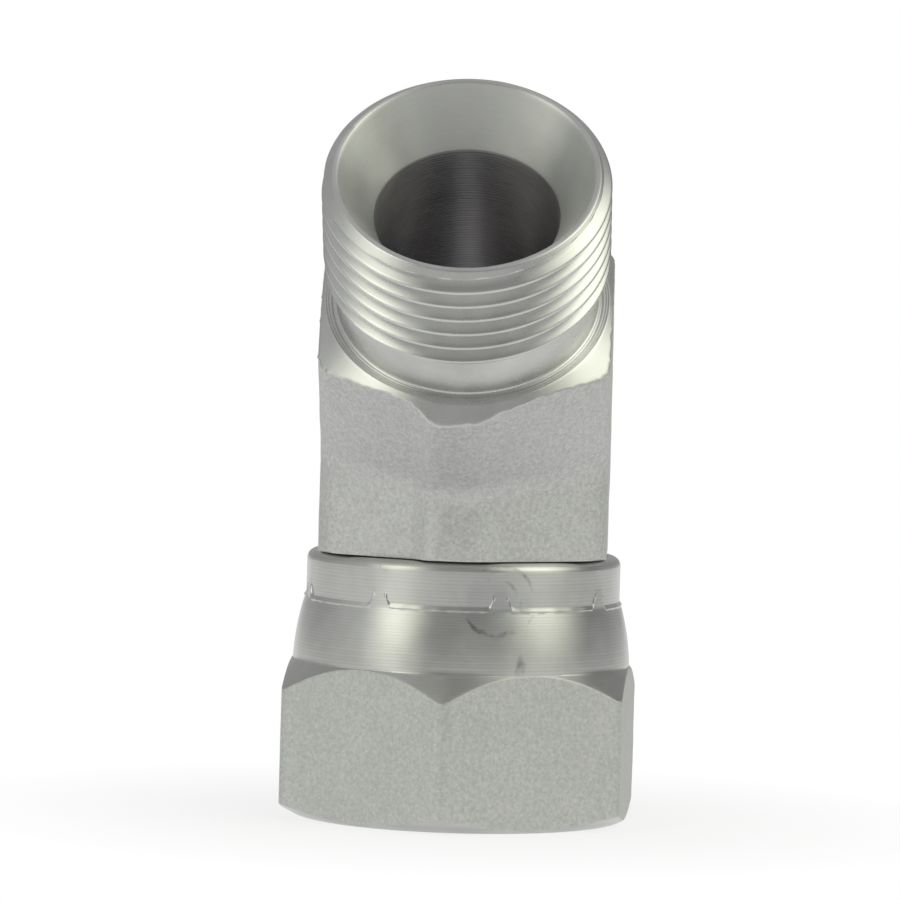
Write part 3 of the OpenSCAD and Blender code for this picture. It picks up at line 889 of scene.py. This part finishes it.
def bored_zinc(name, arm):
    """Drilled wall with rings at the drill's feed, darker and slightly purple where the plating is thin."""
    finish = Finish(name, 0.36, anisotropic=0.92)
    point = finish.arm_place() if arm else finish.place
    across = finish.turning(point)
    drift = finish.lines(across, 500, 2.0)
    rings = finish.calc("SINE", finish.calc("MULTIPLY_ADD", across, 2 * math.pi / BORE_FEED,
                                            finish.calc("MULTIPLY", drift, 6.0)))
    cloud = finish.grain(120, 3.0, 0.6)
    tone = finish.calc("MULTIPLY_ADD", rings, 0.12, cloud)
    colour = finish.ramp(tone, ((0.35, (0.38, 0.37, 0.385)), (0.65, (0.52, 0.505, 0.52))))
    finish.put(colour, finish.shader.inputs["Base Color"])
    finish.put(finish.bump(rings, 1.0, 0.000012), finish.shader.inputs["Normal"])
    finish.spread_across_turning(arm)
    return finish.material


# Studio: pale floor, soft light and the photograph's viewing angle

# Directions are in degrees: azimuth from the camera's side with right positive, then elevation
WALLS = ((-180, 0.4), (-120, 0.42), (-75, 0.6), (-30, 0.28),
         (30, 0.28), (75, 0.14), (120, 0.28), (180, 0.4))
CEILING = 0.52
# Sine of the elevations between which the walls turn into the ceiling
CEILING_START, CEILING_FULL = 0.6, 0.95
# Round soft lights: azimuth, elevation, where the fall-off starts and ends, and brightness
SOFT_LIGHTS = ((-48, 25, 1, 29, 1.95), (69, 39, 1, 42, 2.1), (0, 22, 1, 26, 0.055))
LIGHT_TINT = (0.985, 1.0, 0.855)
WHITE = (1.0, 1.0, 1.0)
# Floor's half width, and where around the object its shadow is let through, in metres
FLOOR_HALF = 1.5
SHADOW_FULL, SHADOW_END = 0.018, 0.05
# How bright the floor looks in the metal
MIRRORED_FLOOR = 0.72


def direction(azimuth, elevation):
    turn, lift = math.radians(azimuth), math.radians(elevation)
    return math.sin(turn) * math.cos(lift), -math.cos(turn) * math.cos(lift), math.sin(lift)


def studio():
    """The room around the object, as a world that also lights it."""
    world = bpy.data.worlds.new("studio")
    bpy.context.scene.world = world
    world.use_nodes = True
    sky = Nodes(world.node_tree)

    # Walls and ceiling, by direction
    look = sky.node("ShaderNodeTexCoord").outputs["Generated"]
    parts = sky.node("ShaderNodeSeparateXYZ")
    sky.put(look, parts.inputs[0])
    facing = sky.calc("ARCTAN2", parts.outputs[0], sky.calc("MULTIPLY", parts.outputs[1], -1.0))
    around = sky.calc("MULTIPLY_ADD", facing, 0.5 / math.pi, 0.5)
    stops = [(degrees / 360 + 0.5, (level, level * 1.01, level)) for degrees, level in WALLS]
    walls = sky.ramp(around, stops)
    above = sky.range(parts.outputs[2], CEILING_START, CEILING_FULL, 0.0, 1.0, "SMOOTHSTEP")
    room = sky.mix(above, walls, (CEILING, CEILING, CEILING))

    # Soft lights, brightest in the middle
    for azimuth, elevation, inner, outer, level in SOFT_LIGHTS:
        away = sky.calc("ARCCOSINE", sky.vector("DOT_PRODUCT", look, direction(azimuth, elevation)))
        share = sky.range(away, math.radians(inner), math.radians(outer), level, 0.0, "SMOOTHSTEP")
        tinted = sky.node("ShaderNodeVectorMath", operation="SCALE")
        sky.put(LIGHT_TINT, tinted.inputs[0])
        sky.put(share, tinted.inputs["Scale"])
        room = sky.mix(1.0, room, tinted.outputs[0], "ADD")

    # The camera sees white, also through the passages
    rays = sky.node("ShaderNodeLightPath")
    seen = sky.calc("MAXIMUM", rays.outputs["Is Camera Ray"], rays.outputs["Is Transmission Ray"])
    shine = sky.tree.nodes["Background"]
    sky.put(sky.mix(seen, room, WHITE), shine.inputs["Color"])
    shine.inputs["Strength"].default_value = 1.0


def pale_floor():
    """A floor that shows nearly white around the object's soft shadow."""
    corners = [(x * FLOOR_HALF, y * FLOOR_HALF, 0) for x, y in ((-1, -1), (1, -1), (1, 1), (-1, 1))]
    mesh = bpy.data.meshes.new("floor")
    mesh.from_pydata(corners, [], [(0, 1, 2, 3)])
    floor = bpy.data.objects.new("floor", mesh)
    bpy.context.scene.collection.objects.link(floor)
    finish = Finish("pale_floor", 0.9, metallic=0.0)
    finish.shader.inputs["Base Color"].default_value = (0.86, 0.86, 0.86, 1)
    finish.shader.inputs["Specular IOR Level"].default_value = 0.1
    glow = finish.node("ShaderNodeEmission")
    glow.inputs["Strength"].default_value = 1.0
    rays = finish.node("ShaderNodeLightPath")
    seen = finish.calc("MAXIMUM", rays.outputs["Is Camera Ray"], rays.outputs["Is Transmission Ray"])
    away = finish.vector("LENGTH", finish.place)
    share = finish.calc("MULTIPLY", seen, finish.range(away, SHADOW_FULL, SHADOW_END, 0.8, 1.0))
    mirrored = finish.calc("MULTIPLY", rays.outputs["Is Glossy Ray"], MIRRORED_FLOOR)
    blend = finish.node("ShaderNodeMixShader")
    finish.put(finish.calc("MAXIMUM", share, mirrored), blend.inputs[0])
    finish.put(finish.shader.outputs[0], blend.inputs[1])
    finish.put(glow.outputs[0], blend.inputs[2])
    finish.put(blend.outputs[0], finish.tree.nodes["Material Output"].inputs["Surface"])
    mesh.materials.append(finish.material)


def photo_camera():
    """The photograph's camera: focal length in pixels of its frame, places in metres from the bend."""
    focal, frame_width, sensor_width = 6359.8, 900, 36
    azimuth, elevation, roll = math.radians(1.972), math.radians(3.132), math.radians(1.664)
    distance, shift_right, shift_up = 0.60117, -0.00170, -0.00273
    back = Vector((math.sin(azimuth) * math.cos(elevation), -math.cos(azimuth) * math.cos(elevation),
                   math.sin(elevation)))
    right = Vector((math.cos(azimuth), math.sin(azimuth), 0))
    up = back.cross(right)
    across = math.cos(roll) * right + math.sin(roll) * up
    above = -math.sin(roll) * right + math.cos(roll) * up
    data = bpy.data.cameras.new("camera")
    data.sensor_width = sensor_width
    data.lens = focal / frame_width * sensor_width
    data.clip_start, data.clip_end = 0.01, 20
    camera = bpy.data.objects.new("camera", data)
    bpy.context.scene.collection.objects.link(camera)
    spot = Vector((0, 0, BEND_HEIGHT * MM)) + back * distance + across * shift_right + above * shift_up
    camera.matrix_world = Matrix.Translation(spot) @ Matrix((across, above, back)).transposed().to_4x4()
    bpy.context.scene.camera = camera


# Build

forged_skin = forged_zinc("forged_zinc", ((0.55, 0.555, 0.55), (0.74, 0.745, 0.735)))
drawn_flats = forged_zinc("drawn_hexagon_zinc", ((0.54, 0.55, 0.535), (0.70, 0.71, 0.69)))
turned_arm = turned_zinc("turned_arm_zinc", ((0.54, 0.545, 0.53), (0.68, 0.685, 0.67)), True,
                         0.00034, 0.0000006, 0.05, roughness=0.27)
turned_seat = turned_zinc("turned_seat_zinc", ((0.56, 0.57, 0.55), (0.68, 0.69, 0.665)), True,
                          0.0003, 0.0000003, 0.04, roughness=0.38, anisotropic=0.92)
turned_nut = turned_zinc("turned_nut_zinc", ((0.48, 0.485, 0.465), (0.62, 0.625, 0.605)), False,
                         0.00032, 0.000003, 0.17, stains=NUT_STAINS)
arm_bore = bored_zinc("drilled_arm_zinc", arm=True)
nut_bore = bored_zinc("bored_nut_zinc", arm=False)

body = elbow_forging((forged_skin, turned_arm, arm_bore))
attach(body, "elbow")
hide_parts("elbow_body")

tree, sockets = threaded_form_tree()
spigot = male_end(tree, sockets, turned_arm, turned_seat, arm_bore)
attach(spigot, "elbow")
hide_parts("elbow_body")

nut = crimped_nut((drawn_flats, turned_nut, nut_bore))
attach(nut, "nut")
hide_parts("swivel_nut")

thread = nut_thread(tree, sockets, nut_bore)
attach(thread, "nut")
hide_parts("swivel_nut")

photo_camera()
studio()
pale_floor()

bpy.context.scene.view_settings.view_transform = "Standard"
